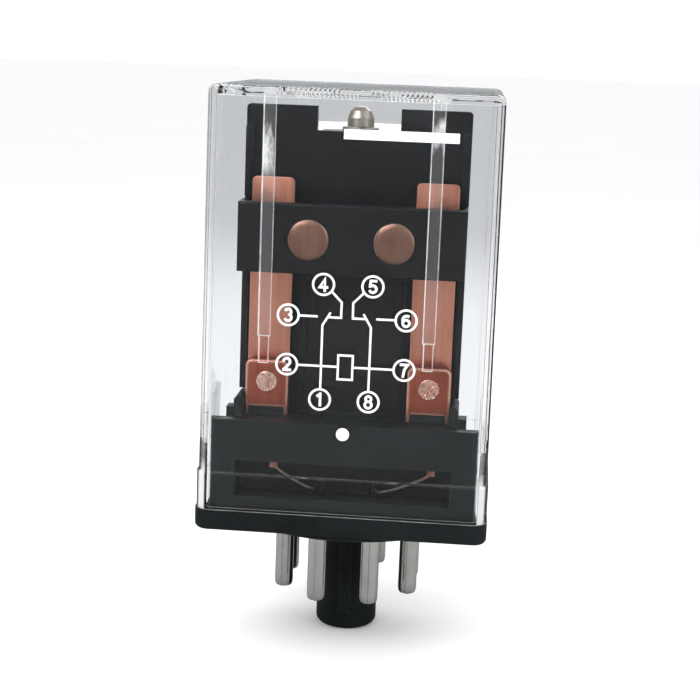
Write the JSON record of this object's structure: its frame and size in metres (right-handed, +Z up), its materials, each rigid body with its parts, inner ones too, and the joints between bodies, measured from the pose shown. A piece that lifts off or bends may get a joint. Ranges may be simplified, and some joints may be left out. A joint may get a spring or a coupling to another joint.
{
  "type": "plug-in relay",
  "caption": "Plug-in changeover relay: clear square cover over copper contact blades and a coil, on a black octal base with round pins and a keyed centre post.",
  "frame": {"origin": "on the key post's axis, in the plane of the seating boss that rests on the socket", "axes": "+Z up out of the socket through the clear cover, -Y towards the front with the contact diagram and the key rib, +X to the right seen from the front"},
  "size_m": [0.0354, 0.0354, 0.0701],
  "materials": {
    "base_plastic": "fine moulded satin",
    "clear_cover": "clear moulded polycarbonate",
    "pin_nickel": "nickel plate, drawn",
    "solder": "soft solder, dull",
    "frame_plastic": "fine moulded satin",
    "bracket_copper": "rolled copper alloy, slightly tarnished",
    "blade_copper": "rolled spring copper, satin",
    "rivet_copper": "tarnished copper, turned",
    "contact_silver": "silver alloy, satin",
    "lead_copper": "bare copper",
    "lead_sleeve": "woven insulating sleeve",
    "steel": "zinc-plated, satin",
    "screw_steel": "zinc-plated",
    "spring_steel": "drawn wire",
    "ring_copper": "bare copper",
    "bobbin_nylon": "natural nylon",
    "winding": "enamelled magnet wire",
    "tape": "polyester film tape"
  },
  "bodies": {
    "frame": {"base": "base_plastic", "bobbin": "bobbin_nylon", "bracket_rivet_left": "bracket_copper", "bracket_rivet_right": "bracket_copper", "coil_lead_left": "lead_sleeve", "coil_lead_right": "lead_sleeve", "coil_tape": "tape", "coil_winding": "winding", "common_bracket_left": "bracket_copper", "common_bracket_right": "bracket_copper", "common_lead_left": "lead_copper", "common_lead_right": "lead_copper", "common_terminal_left": "blade_copper", "common_terminal_right": "blade_copper", "contact_bridge": "frame_plastic", "contact_frame": "frame_plastic", "core": "steel", "core_nut": "screw_steel", "cover": "clear_cover", "nc_contact_left": "contact_silver", "nc_contact_right": "contact_silver", "nc_terminal_left": "blade_copper", "nc_terminal_right": "blade_copper", "no_contact_left": "rivet_copper", "no_contact_right": "rivet_copper", "no_terminal_left": "blade_copper", "no_terminal_right": "blade_copper", "pin_1": "pin_nickel", "pin_2": "pin_nickel", "pin_3": "pin_nickel", "pin_4": "pin_nickel", "pin_5": "pin_nickel", "pin_6": "pin_nickel", "pin_7": "pin_nickel", "pin_8": "pin_nickel", "pin_solder": "solder", "return_spring": "spring_steel", "screw_washer": "screw_steel", "shading_ring": "ring_copper", "spring_screw": "screw_steel", "yoke": "steel", "yoke_screws": "screw_steel"},
    "armature": {"armature": "steel", "armature_card": "frame_plastic"},
    "blade_left": {"moving_blade_left": "blade_copper", "blade_contact_left": "contact_silver"},
    "blade_right": {"moving_blade_right": "blade_copper", "blade_contact_right": "contact_silver"}
  },
  "joints": [
    {"name": "armature_pivot", "type": "hinge", "parent": "frame", "child": "armature", "pos_m": [0, -0.0049, 0.0454], "axis": [1, 0, 0], "range_deg": [-7, 0], "stiffness_Nm_per_rad": 0.02, "springref_deg": 5.73, "deforming": ["return_spring"]},
    {"name": "blade_left_flex", "type": "hinge", "parent": "frame", "child": "blade_left", "pos_m": [-0.00985, -0.0108, 0.021], "axis": [1, 0, 0], "range_deg": [0, 3]},
    {"name": "blade_right_flex", "type": "hinge", "parent": "frame", "child": "blade_right", "pos_m": [0.00985, -0.0108, 0.021], "axis": [1, 0, 0], "range_deg": [0, 3]}
  ],
  "couplings": [
    {"joint": "blade_left_flex", "follows": "armature_pivot", "ratio": -0.42857},
    {"joint": "blade_right_flex", "follows": "armature_pivot", "ratio": -0.42857}
  ]
}
